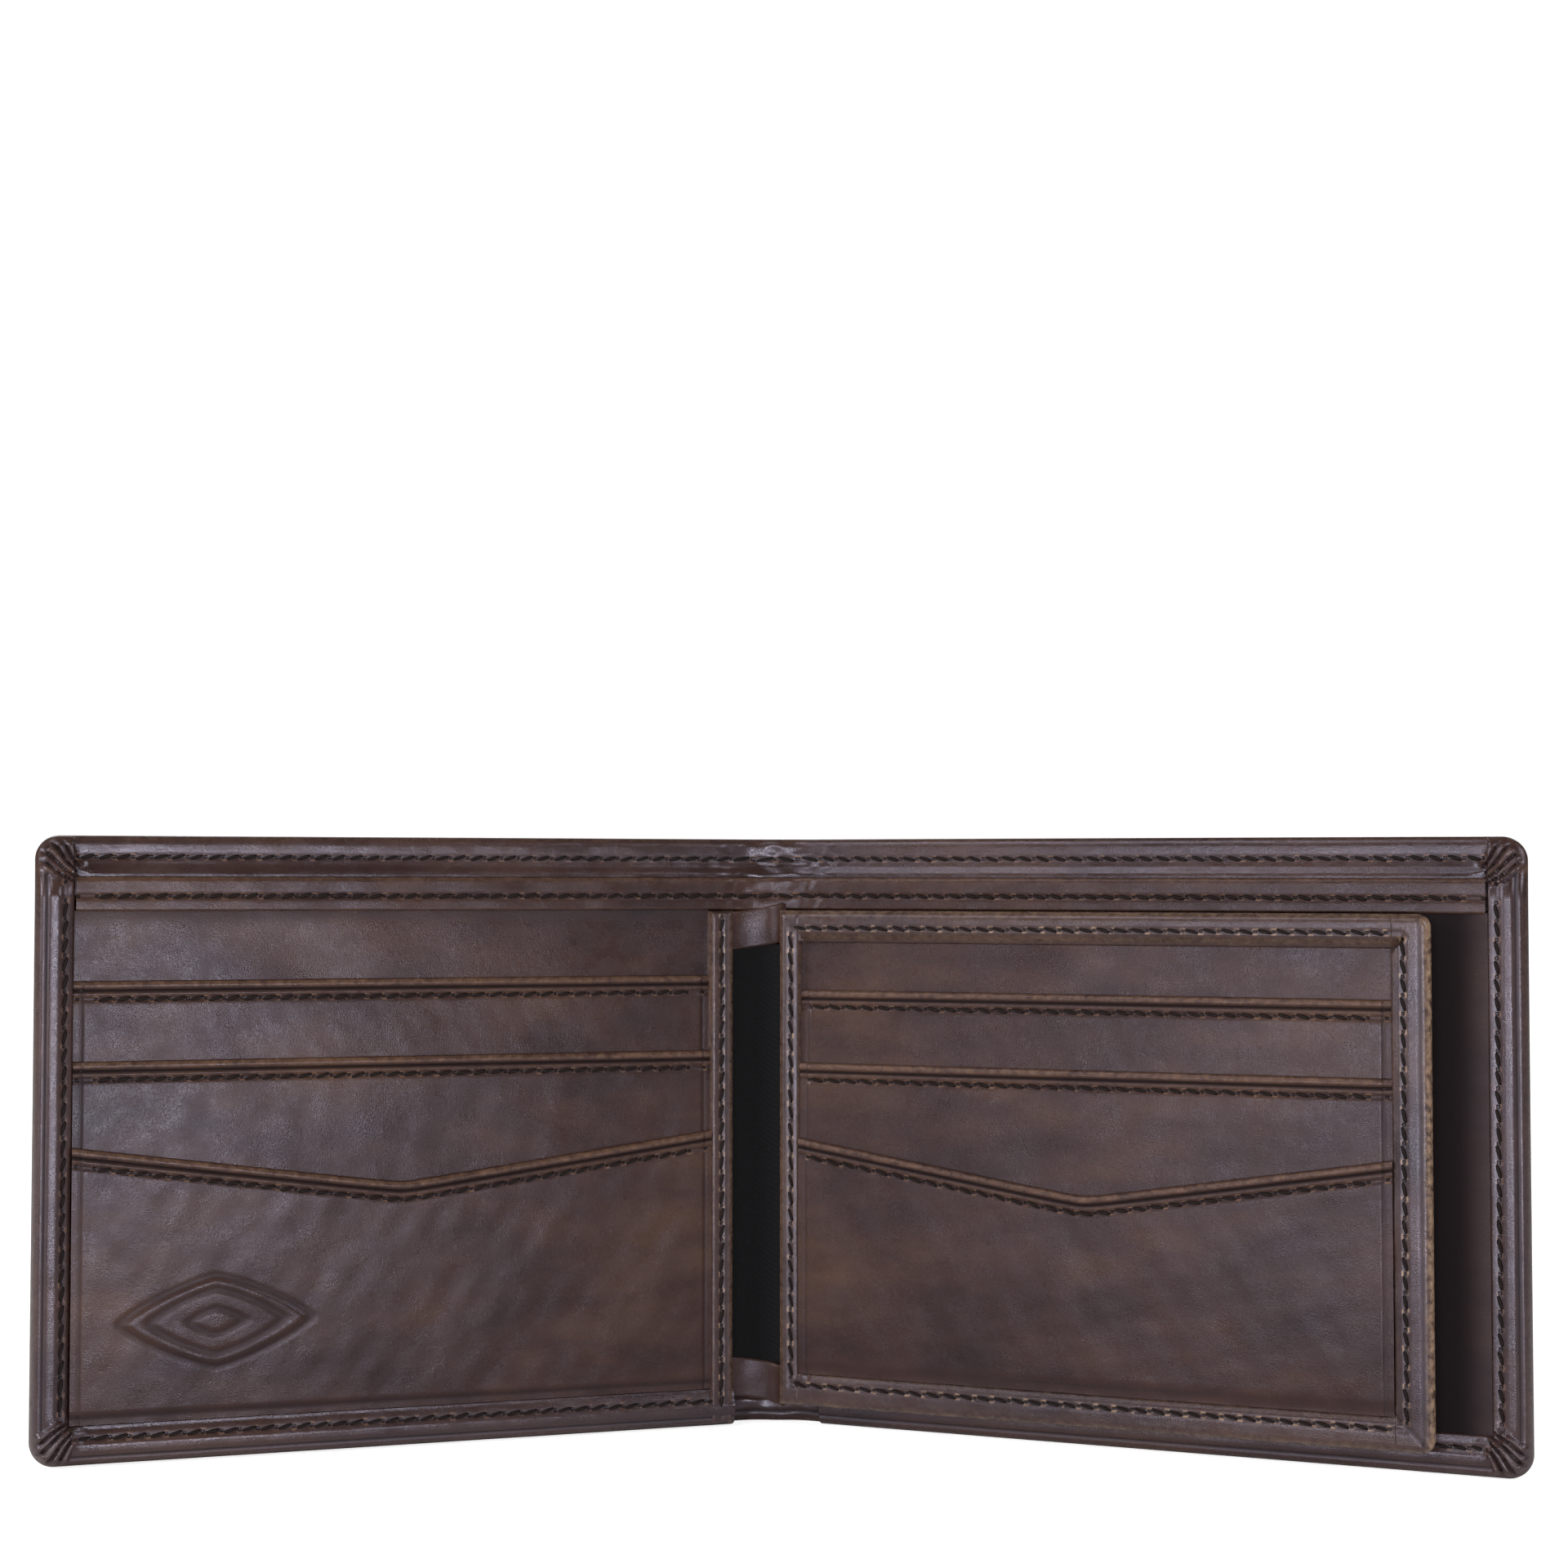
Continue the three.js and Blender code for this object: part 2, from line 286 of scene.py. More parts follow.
def noise(add, link, where, scale, detail=3.0, roughness=0.55):
    node = add("ShaderNodeTexNoise")
    node.inputs["Scale"].default_value = scale
    node.inputs["Detail"].default_value = detail
    node.inputs["Roughness"].default_value = roughness
    link(where, node.inputs["Vector"])
    return node.outputs["Fac"]


def ramp(add, link, value, stops):
    node = add("ShaderNodeValToRGB")
    elements = node.color_ramp.elements
    while len(elements) < len(stops):
        elements.new(0.5)
    for element, (position, color) in zip(elements, stops):
        element.position = position
        element.color = (*color, 1)
    link(value, node.inputs["Fac"])
    return node.outputs["Color"]


def mix(add, link, amount, first, second, blend="MIX"):
    node = add("ShaderNodeMix", data_type="RGBA", blend_type=blend)
    for socket, value in ((node.inputs[0], amount), (node.inputs[6], first), (node.inputs[7], second)):
        if isinstance(value, (int, float)):
            socket.default_value = value
        elif isinstance(value, tuple):
            socket.default_value = (*value, 1)
        else:
            link(value, socket)
    return node.outputs[2]


def arithmetic(add, link, operation, first, second):
    node = add("ShaderNodeMath", operation=operation)
    for socket, value in ((node.inputs[0], first), (node.inputs[1], second)):
        if isinstance(value, (int, float)):
            socket.default_value = value
        else:
            link(value, socket)
    return node.outputs[0]


def leather(name, dark, middle, warm, tan, roughness, polish, seed):
    """Waxed, mottled hide: pores and creases in the bump; paler tan where it is folded and rubbed, partly
    real wear and partly painted highlight on rolled edges, beads and ridges; darker and duller along
    grooves, creases and seams, which is painted shade.
    """
    material, shader, add, link = node_tools(name)
    flat = scaled_place(add, link, "flat_place", 1 / MM)
    streaks = add("ShaderNodeMapping")
    streaks.inputs["Scale"].default_value = (0.55, 1.3, 1)
    streaks.inputs["Location"].default_value = (seed, seed * 0.7, 0)
    link(flat, streaks.inputs["Vector"])
    drawn = streaks.outputs["Vector"]
    shift = add("ShaderNodeVectorMath", operation="ADD")
    shift.inputs[1].default_value = (seed, seed * 0.7, 0)
    link(flat, shift.inputs[0])
    where = shift.outputs[0]
    broad = noise(add, link, drawn, 0.05, 3.0, 0.6)
    cloudy = noise(add, link, drawn, 0.17, 4.0, 0.6)
    blend = arithmetic(add, link, "ADD", arithmetic(add, link, "MULTIPLY", broad, 0.65),
                       arithmetic(add, link, "MULTIPLY", cloudy, 0.35))
    base = ramp(add, link, blend, [(0.33, dark), (0.5, middle), (0.68, warm)])
    specks = noise(add, link, where, 2.6, 3.0, 0.7)
    speckled = ramp(add, link, specks, [(0.3, (0.35,) * 3), (0.7, (1.0,) * 3)])
    base = mix(add, link, 0.35, base, speckled, "MULTIPLY")

    # Paler tan from the wear attribute: partly real wear, partly painted highlights on rolled edges, mouth
    # beads and fold ridges.
    wear = add("ShaderNodeAttribute", attribute_name="wear").outputs["Fac"]
    uneven = noise(add, link, where, 0.9, 4.0, 0.65)
    kept = ramp(add, link, uneven, [(0.36, (0.12,) * 3), (0.66, (1.0,) * 3)])
    base = mix(add, link, arithmetic(add, link, "MULTIPLY", wear, kept), base, tan)
    # Painted shade from the groove attribute: darker and duller in grooves, creases, seams and stamped
    # lines, plus the painted shadow beside the flap.
    groove = add("ShaderNodeAttribute", attribute_name="groove").outputs["Fac"]
    base = mix(add, link, groove, base, tuple(channel * 0.3 for channel in dark))
    seam = add("ShaderNodeAttribute", attribute_name="seam").outputs["Fac"]
    place_along = add("ShaderNodeAttribute", attribute_name="along").outputs["Fac"]
    beat = arithmetic(add, link, "COSINE", arithmetic(add, link, "MULTIPLY", place_along, 2 * math.pi), 0.0)
    none, full = (0.0,) * 3, (1.0,) * 3
    # Painted highlights: patchy tan glints on the leather beside each needle hole.
    beside_hole = ramp(add, link, beat, [(0.25, none), (0.9, full)])
    beside_seam = ramp(add, link, seam, [(0.08, none), (0.35, full), (0.62, full), (0.85, none)])
    patches = noise(add, link, where, 0.8, 3.0, 0.6)
    patchy = ramp(add, link, patches, [(0.42, none), (0.62, (0.75,) * 3)])
    painted_stitch_glint = arithmetic(add, link, "MULTIPLY", beside_hole, beside_seam)
    base = mix(add, link, arithmetic(add, link, "MULTIPLY", painted_stitch_glint, patchy), base, tan)
    # Painted shade: the needle holes, and the thread's shadow in them, are painted near black.
    in_hole = ramp(add, link, beat, [(0.78, none), (0.96, full)])
    in_seam = ramp(add, link, seam, [(0.6, none), (0.9, full)])
    hole = arithmetic(add, link, "MULTIPLY", in_hole, in_seam)
    base = mix(add, link, hole, base, (0.004, 0.003, 0.003))
    link(base, shader.inputs["Base Color"])

    gloss = ramp(add, link, noise(add, link, where, 0.3, 4.0, 0.6),
                 [(0.3, (roughness - 0.06,) * 3), (0.7, (roughness + 0.09,) * 3)])
    gloss = mix(add, link, groove, gloss, (0.95,) * 3)
    link(gloss, shader.inputs["Roughness"])
    shader.inputs["Specular IOR Level"].default_value = polish
    shader.inputs["Specular Tint"].default_value = (0.82, 0.8, 1.0, 1)

    pores = add("ShaderNodeTexVoronoi", feature="DISTANCE_TO_EDGE")
    pores.inputs["Scale"].default_value = 3.6
    link(where, pores.inputs["Vector"])
    pebbles = ramp(add, link, pores.outputs["Distance"], [(0.0, (0.0,) * 3), (0.45, (1.0,) * 3)])
    fine = noise(add, link, where, 5.0, 3.0, 0.6)
    soft = noise(add, link, where, 0.7, 3.0, 0.5)
    height = arithmetic(add, link, "ADD", arithmetic(add, link, "MULTIPLY", pebbles, 0.22),
                        arithmetic(add, link, "MULTIPLY", fine, 0.36))
    height = arithmetic(add, link, "ADD", height, arithmetic(add, link, "MULTIPLY", soft, 0.6))
    height = arithmetic(add, link, "SUBTRACT", height, arithmetic(add, link, "MULTIPLY", hole, 4.0))
    bump = add("ShaderNodeBump")
    bump.inputs["Strength"].default_value = 0.62
    bump.inputs["Distance"].default_value = 0.08 * MM
    link(height, bump.inputs["Height"])
    link(bump.outputs["Normal"], shader.inputs["Normal"])
    return material


def twill(name, color):
    """Fine black twill: diagonal ribs, faintly bluish."""
    material, shader, add, link = node_tools(name)
    where = scaled_place(add, link, "flat_place", 1 / MM)
    ribs = add("ShaderNodeTexWave", wave_type="BANDS", bands_direction="DIAGONAL")
    ribs.inputs["Scale"].default_value = 0.75
    ribs.inputs["Distortion"].default_value = 0.6
    link(where, ribs.inputs["Vector"])
    dust = noise(add, link, where, 1.5, 4.0, 0.7)
    tone = mix(add, link, ribs.outputs["Fac"], tuple(c * 0.55 for c in color), color)
    lighter = tuple(min(1, c * 1.7) for c in color)
    tone = mix(add, link, ramp(add, link, dust, [(0.5, (0,) * 3), (0.75, (0.5,) * 3)]), tone, lighter)
    link(tone, shader.inputs["Base Color"])
    shader.inputs["Roughness"].default_value = 0.8
    shader.inputs["Specular IOR Level"].default_value = 0.2
    shader.inputs["Sheen Weight"].default_value = 0.06
    bump = add("ShaderNodeBump")
    bump.inputs["Strength"].default_value = 0.5
    bump.inputs["Distance"].default_value = 0.05 * MM
    link(ribs.outputs["Fac"], bump.inputs["Height"])
    link(bump.outputs["Normal"], shader.inputs["Normal"])
    return material


def thread_material(name, dark, light):
    """Waxed twisted thread."""
    material, shader, add, link = node_tools(name)
    where = scaled_place(add, link, None, 1 / MM)
    twist = add("ShaderNodeTexWave", wave_type="BANDS", bands_direction="DIAGONAL")
    twist.inputs["Scale"].default_value = 1.6
    twist.inputs["Distortion"].default_value = 1.5
    link(where, twist.inputs["Vector"])
    tone = mix(add, link, twist.outputs["Fac"], dark, light)
    link(tone, shader.inputs["Base Color"])
    shader.inputs["Roughness"].default_value = 0.6
    shader.inputs["Specular IOR Level"].default_value = 0.25
    bump = add("ShaderNodeBump")
    bump.inputs["Strength"].default_value = 0.6
    bump.inputs["Distance"].default_value = 0.05 * MM
    link(twist.outputs["Fac"], bump.inputs["Height"])
    link(bump.outputs["Normal"], shader.inputs["Normal"])
    return material


COVER_LEATHER = leather(
    "cover_leather", dark=(0.032, 0.017, 0.015), middle=(0.062, 0.032, 0.027), warm=(0.096, 0.050, 0.034),
    tan=(0.24, 0.140, 0.095), roughness=0.25, polish=0.85, seed=0.0)
INNER_LEATHER = leather(
    "inner_leather", dark=(0.030, 0.015, 0.012), middle=(0.060, 0.030, 0.023), warm=(0.102, 0.052, 0.031),
    tan=(0.24, 0.135, 0.085), roughness=0.27, polish=0.42, seed=37.0)
EDGE_LEATHER = leather(
    "edge_leather", dark=(0.036, 0.019, 0.017), middle=(0.066, 0.035, 0.029), warm=(0.104, 0.057, 0.040),
    tan=(0.50, 0.330, 0.220), roughness=0.25, polish=0.7, seed=81.0)
LINING = twill("lining_fabric", (0.0045, 0.004, 0.0055))
THREAD = thread_material("thread", (0.004, 0.0018, 0.0015), (0.014, 0.006, 0.0045))


# ---- the camera, a little below the wallet's upper edge ----
LENS = 57.65
LENS_SHIFT = 0.0475
CAMERA_DISTANCE, CAMERA_ASIDE, CAMERA_HEIGHT = 394 * MM, 2.4 * MM, 83.7 * MM
CAMERA_PITCH, CAMERA_ROLL, CAMERA_YAW = 2.18, -0.08, 1.86


def make_camera():
    data = bpy.data.cameras.new("camera")
    data.lens = LENS
    data.shift_x = LENS_SHIFT
    data.clip_start = 0.01
    camera = bpy.data.objects.new("camera", data)
    camera.location = (CAMERA_ASIDE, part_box("spine_cover")[1][1] - CAMERA_DISTANCE, CAMERA_HEIGHT)
    camera.rotation_euler = [math.radians(a) for a in (90 + CAMERA_PITCH, CAMERA_ROLL, CAMERA_YAW)]
    bpy.context.scene.collection.objects.link(camera)
    bpy.context.scene.camera = camera


# ---- stitches ----
STITCH_LENGTH = 2.2 * MM
STITCH_RADIUS = 0.24 * MM
SLANT = math.radians(14)
STATIONS = np.array([-1, -0.8, -0.4, 0.0, 0.4, 0.8, 1.0])
GIRTH = np.array([0.3, 0.8, 1.0, 1.05, 1.0, 0.8, 0.3])


def stitches(name, side, low, high, line, depth, upright=False, bends=False, outward=1):
    """Single stitches of one seam, sunk into the leather at their ends. The seam follows line(x),
    and each stitch spans one pitch of s, or of z if the seam is upright."""
    rng = np.random.RandomState(int(abs(depth) * 1e6) + len(name))
    ring = np.arange(6) * math.pi / 3
    along = np.repeat(STATIONS * STITCH_LENGTH / 2, 6)
    across = np.outer(GIRTH, np.cos(ring)).ravel() * STITCH_RADIUS
    out = np.outer(GIRTH, np.sin(ring)).ravel() * STITCH_RADIUS * 0.85
    out = out - (np.repeat(STATIONS, 6) ** 8) * 0.3 * MM + 0.09 * MM
    count = len(along)
    points, flats, faces = [], [], []
    for number in range(math.ceil(low / STITCH_PITCH), math.floor(high / STITCH_PITCH)):
        x = (number + 0.5) * STITCH_PITCH
        step = 0.5 * MM
        lean = math.atan2(line(x + step) - line(x - step), 2 * step) - SLANT + rng.uniform(-0.06, 0.06)
        x, y = x + rng.uniform(-0.06, 0.06) * MM, line(x) + rng.uniform(-0.05, 0.05) * MM
        first = x + along * math.cos(lean) - across * math.sin(lean)
        second = y + along * math.sin(lean) + across * math.cos(lean)
        s, z = (second, first) if upright else (first, second)
        t = depth + outward * out
        points.append(place(side, s, t, z, bend_share(s) if bends else np.ones_like(s)))
        flats.append(np.stack([side * s, z, t], -1))
        base = (len(points) - 1) * count
        for k in range(len(STATIONS) - 1):
            for j in range(6):
                a, b = base + k * 6 + j, base + k * 6 + (j + 1) % 6
                faces.append([a, b, b + 6, a + 6])
        faces.append([base + j for j in range(5, -1, -1)])
        faces.append([base + count - 6 + j for j in range(6)])
    return add_mesh(name, np.concatenate(points), faces, flat=np.concatenate(flats))


def level(height):
    return lambda x: height


# ---- the cover: one hide, turned over at its edges ----
SEAM_INSET = 4.2 * MM
TOP_SEAM_INSET = 3.1 * MM
CORNER_RADIUS = 3.5 * MM
GROOVE_DEPTH = 0.2 * MM


def pleats(side_inset, end_inset):
    """The gathered leather of a turned corner: near-parallel folds that run in from the corner."""
    centre, folds, spread = 9.5 * MM, 5, math.radians(7.4)
    ds, dz = centre - side_inset, centre - end_inset
    distance = np.hypot(ds, dz)
    angle = np.arctan2(np.maximum(dz, 0), np.maximum(ds, 1e-9)) - math.pi / 4
    phase = angle / spread + 0.1 * np.sin(distance / (0.9 * MM))
    window = smooth(folds / 2 - np.abs(phase), -0.1, 0.35) * (np.minimum(ds, dz) > 0)
    rounded = np.abs(np.cos(math.pi * phase))
    outline = np.minimum(side_inset, end_inset)
    along = smooth(distance, 4.3 * MM, 6.3 * MM) * smooth(outline, 0.5 * MM, 1.5 * MM)
    height = (0.85 + 0.3 * np.sin(1.7 + 2.3 * np.round(phase))) * np.sqrt(rounded)
    return height * window * along, (1 - rounded) ** 3 * window * along


def cover_half(side_name):
    """Half of the hide from the spine's middle to its rim, with its three turned edges."""
    side = SIDES[side_name]
    cover, rim = Extent(f"{side_name}_cover"), Extent(f"{side_name}_side_hem")
    foot, top = Extent(f"{side_name}_bottom_hem"), Extent(f"{side_name}_top_hem")
    spine_foot = Extent("spine_bottom_hem")
    panel_edge = Extent("left_edge_band").s0
    width, foot_width, top_width = rim.s1 - rim.s0, foot.z1 - foot.z0, top.z1 - top.z0
    height, outer = cover.z1, cover.s1
    panel_face = Extent(f"{side_name}_inner_panel").t1
    s_lines = axis_lines(0, outer, 0.7 * MM, (), hem_insets(width), np.arange(0.25, 7.2, 0.25) * MM)
    z_lines = axis_lines(0, height, 0.75 * MM, hem_insets(foot_width), hem_insets(top_width))
    S, Z = np.meshgrid(s_lines, z_lines, indexing="ij")
    side_inset, foot_inset, top_inset = outer - S, Z, height - Z
    end_inset = np.minimum(foot_inset, top_inset)
    inset = np.minimum(np.minimum(side_inset, foot_inset), top_inset)

    def border(distance):
        return roll(np.maximum(distance, 0), 0.4 * MM)

    base = cover.t1
    beyond_spine = smooth(S, panel_edge - 0.5 * MM, panel_edge + 0.2 * MM)
    foot_face = spine_foot.t1 + (foot.t1 - spine_foot.t1) * beyond_spine
    side_face = top.t1 + (rim.t1 - top.t1) * (0.12 + 0.88 * smooth(top_inset, 1.5 * MM, 9 * MM))
    front = np.full_like(S, base)
    for face, distance in ((top.t1, top_width - top_inset), (foot_face, foot_width - foot_inset),
                           (side_face, width - side_inset)):
        front = np.maximum(front, base + (face - base) * border(distance))

    S, Z = round_corner(S, Z, outer, height, CORNER_RADIUS)
    S, Z = round_corner(S, Z, outer, 0.0, CORNER_RADIUS)
    fold, crease = pleats(side_inset, end_inset)

    outer_seam = ridge(np.minimum(side_inset, foot_inset) - SEAM_INSET, 0.42 * MM)
    outer_seam = outer_seam * smooth(np.maximum(side_inset, end_inset), width - 0.2 * MM, width + 0.6 * MM)
    outer_seam = outer_seam * (np.minimum(side_inset, foot_inset) < width + MM)
    top_seam = ridge(top_inset - TOP_SEAM_INSET, 0.42 * MM) * (side_inset > width)
    seam = np.maximum(outer_seam, top_seam)
    along = np.where(side_inset < width, Z, S)
    roll_crease = ridge(inset - 1.6 * MM, 0.2 * MM) * (1 - np.clip(fold * 3, 0, 1))
    roll_crease = roll_crease * (top_inset > 2.5 * MM)
    near = np.minimum(side_inset, foot_inset)
    pad = smooth(near, 1.6 * MM, 2.4 * MM) * (1 - smooth(near, 3.2 * MM, 4.1 * MM)) * 0.28 * MM
    pad = pad * smooth(top_inset, 3 * MM, 6 * MM)
    lip = smooth(inset, SEAM_INSET - 0.2 * MM, width) * 0.35 * (front - panel_face)
    uneven = waves(side * S, Z, 3, 14 * MM) * 0.07 * MM + waves(side * S, Z, 13, 5 * MM) * 0.035 * MM
    uneven = uneven + ridge(S, 8 * MM) * waves(side * S, Z, 59, 2.6 * MM) * 0.16 * MM
    on_hem = smooth(front, base + 0.2 * MM, base + 0.5 * MM)
    corner = smooth(np.maximum(side_inset, end_inset), 7 * MM, 5 * MM)
    face = front + (uneven + (pad - lip) * (1 - corner)) * on_hem + fold * 0.95 * MM - crease * 0.4 * MM
    face = face - seam * GROOVE_DEPTH - roll_crease * 0.2 * MM

    middle = 0.42 * front
    shown = middle + (face - middle) * roll(inset, 1.35 * MM)
    outside = middle * (1 - roll(inset, 1.2 * MM))
    back_seam = np.maximum(ridge(np.minimum(side_inset, foot_inset) - SEAM_INSET, 0.42 * MM), top_seam)
    outside_relief = waves(side * S, Z, 23, 22 * MM) * 0.08 * MM + back_seam * 0.12 * MM
    outside = outside + outside_relief * roll(inset, 2 * MM)
    # Paler at the rim's rubbed edge, which is wear and painted highlight; painted highlights on the pleat
    # ridges and on a line along the hems' inner border; painted shade in the seams, pleat creases and roll
    # crease.
    wear = 0.45 * np.exp(-inset / (0.55 * MM)) + 0.5 * np.clip(fold - 0.55, 0, 1) * on_hem
    wear = wear + 0.3 * ridge(front - base - 0.6 * (rim.t1 - base), 0.25 * MM) * on_hem
    groove = np.clip(0.15 * seam * on_hem + 1.0 * crease + 0.7 * roll_crease, 0, 1)
    turned = bend_share(S)
    nodes = [f"{side_name}_{part}" for part in ("cover", "side_hem", "bottom_hem", "top_hem")]
    if side > 0:
        nodes += ["spine_cover", "spine_top_hem", "spine_bottom_hem"]
    piece = slab(f"{side_name}_cover_hide", side, S, Z, shown, outside, wear, groove, turned, seam, along)
    finish_piece(piece, COVER_LEATHER, nodes, bends=(side_name, 2.5 * MM))


def hem_stitches(side_name):
    """The stitches of a half's turned edges, inside and outside."""
    side = SIDES[side_name]
    cover, rim = Extent(f"{side_name}_cover"), Extent(f"{side_name}_side_hem")
    top = Extent(f"{side_name}_top_hem")
    panel_edge = Extent("left_edge_band").s0
    seam_s, corner = cover.s1 - SEAM_INSET, 5.6 * MM
    sink = GROOVE_DEPTH * 0.6
    spans = {
        "side": (corner, cover.z1 - 7.5 * MM, level(seam_s), rim.t1),
        "foot": (panel_edge + MM, cover.s1 - corner, level(SEAM_INSET), rim.t1),
        "top": (0.0, cover.s1 - corner, level(cover.z1 - TOP_SEAM_INSET), top.t1),
    }
    for label, (low, high, line, depth) in spans.items():
        bends, upright = label == "top", label == "side"
        shown = stitches(f"{side_name}_{label}_stitches", side, low, high, line, depth - sink,
                         upright, bends)
        behind = stitches(f"{side_name}_outside_{label}_stitches", side, low, high, line, 0.1 * MM,
                          upright, bends, outward=-1)
        nodes = [f"{side_name}_outer_thread"]
        if bends:
            nodes = [f"{side_name}_top_hem_thread"] + (["spine_top_hem_thread"] if side > 0 else [])
        for row, own_nodes in ((shown, nodes), (behind, [])):
            if bends:
                finish_piece(row, THREAD, own_nodes, bends=(side_name, top.t1))
            else:
                finish_piece(row, THREAD, own_nodes, body=f"{side_name}_half")


# ---- the bill compartment: linings and the strip that binds its front wall ----
def lining_half(side_name, wall):
    """Half of a lining of the bill compartment, a sheet curved through the fold like the cover."""
    side = SIDES[side_name]
    own = Extent(f"{side_name}_{wall}_lining")
    s_lines = axis_lines(0, own.s1, 2.5 * MM, (), (), np.arange(0.25, 7, 0.25) * MM)
    z_lines = axis_lines(own.z0, own.z1, 4 * MM)
    S, Z = np.meshgrid(s_lines, z_lines, indexing="ij")
    ease = waves(side * S, Z, 41, 30 * MM) * 0.04 * MM
    piece = slab(f"{side_name}_{wall}_lining_cloth", side, S, Z, own.t1 + ease, own.t0 + ease,
                 turned=bend_share(S))
    nodes = [f"{side_name}_{wall}_lining"] + ([f"spine_{wall}_lining"] if side > 0 else [])
    finish_piece(piece, LINING, nodes, bends=(side_name, own.t1))


def top_strip_half(side_name):
    """Half of the strip that binds the bill compartment's front wall."""
    side = SIDES[side_name]
    own = Extent(f"{side_name}_top_strip")
    insets = np.array([0, 0.03, 0.08, 0.16, 0.27, 0.4, 0.55, 0.75]) * MM
    seam_z = own.z0 + 2.2 * MM
    s_lines = axis_lines(0, own.s1 + 0.2 * MM, 0.7 * MM, (), (), np.arange(0.25, 7, 0.25) * MM)
    z_lines = axis_lines(own.z0, own.z1, 0.3 * MM, insets, insets, seam_z + np.linspace(-0.5, 0.5, 7) * MM)
    S, Z = np.meshgrid(s_lines, z_lines, indexing="ij")
    below, above = Z - own.z0, own.z1 - Z
    seam = ridge(Z - seam_z, 0.4 * MM)
    uneven = waves(side * S, Z, 51, 9 * MM) * 0.09 * MM
    crumple = ridge(S, 9 * MM) * waves(side * S, Z, 57, 2.6 * MM) * 0.14 * MM
    face = own.t1 + uneven + crumple - seam * GROOVE_DEPTH
    middle = (own.t0 + own.t1) / 2
    edge = np.minimum(roll(above, 0.7 * MM), roll(below, 0.35 * MM))
    front = middle + (face - middle) * edge
    back = middle + (own.t0 - 0.1 * MM - middle) * roll(above, 0.6 * MM)
    # Paler tan along both edges: wear and painted highlight; painted shade in the seam.
    wear = 0.6 * np.exp(-above / (0.5 * MM)) + 0.35 * np.exp(-below / (0.3 * MM))
    groove = 0.15 * seam
    piece = slab(f"{side_name}_top_strip_hide", side, S, Z, front, back, wear, groove,
                 bend_share(S), seam, S)
    nodes = [f"{side_name}_top_strip"] + (["spine_top_strip"] if side > 0 else [])
    finish_piece(piece, INNER_LEATHER, nodes, bends=(side_name, own.t1))
    row = stitches(f"{side_name}_top_strip_stitches", side, 0.0, own.s1 - MM, level(seam_z),
                   own.t1 - GROOVE_DEPTH * 0.6, bends=True)
    nodes = [f"{side_name}_top_strip_thread"] + (["spine_top_strip_thread"] if side > 0 else [])
    finish_piece(row, THREAD, nodes, bends=(side_name, own.t1))


# ---- panels and pockets ----
def inner_panel(side_name):
    """The leaf that carries a half's pockets; on the right a painted shadow of the flap darkens it towards
    the flap.
    """
    side = SIDES[side_name]
    own = Extent(f"{side_name}_inner_panel")
    overlap = 0.45 * MM
    s_lines = axis_lines(own.s0 - overlap, own.s1 + overlap, MM)
    z_lines = axis_lines(own.z0 - overlap, own.z1 + overlap, MM)
    S, Z = np.meshgrid(s_lines, z_lines, indexing="ij")
    top_crease = ridge(own.z1 - Z, 0.5 * MM)
    front = own.t1 + waves(S, Z, 61 + side, 18 * MM) * 0.12 * MM - top_crease * 0.15 * MM
    shade = np.zeros_like(S)
    # Painted shadow: the right panel is painted dark beside the flap's free edge, fading out towards the
    # rim; the crease at the top gets painted shade too.
    if side > 0:
        flap_edge = Extent("flap_binding_outer").s1
        shade = 1.0 - 0.75 * smooth(S, flap_edge + 3 * MM, flap_edge + 9 * MM)
    piece = slab(f"{side_name}_inner_panel_hide", side, S, Z, front, np.full_like(S, own.t0),
                 groove=np.maximum(0.6 * top_crease, shade))
    finish_piece(piece, INNER_LEATHER, [f"{side_name}_inner_panel"],
                 body=f"{side_name}_half")


MOUTH_SEAM = 2.6 * MM


def mouth_height(s, own):
    """A pocket's mouth: level, or dipping to its middle with a soft point."""
    half = (own.s1 - own.s0) / 2
    off = np.abs(s - (own.s0 + half))
    soft = 1.5 * MM
    eased = np.sqrt(off * off + soft * soft) - soft
    return own.dip + (own.z1 - own.dip) * np.clip(eased / (half - soft), 0, 1.05)


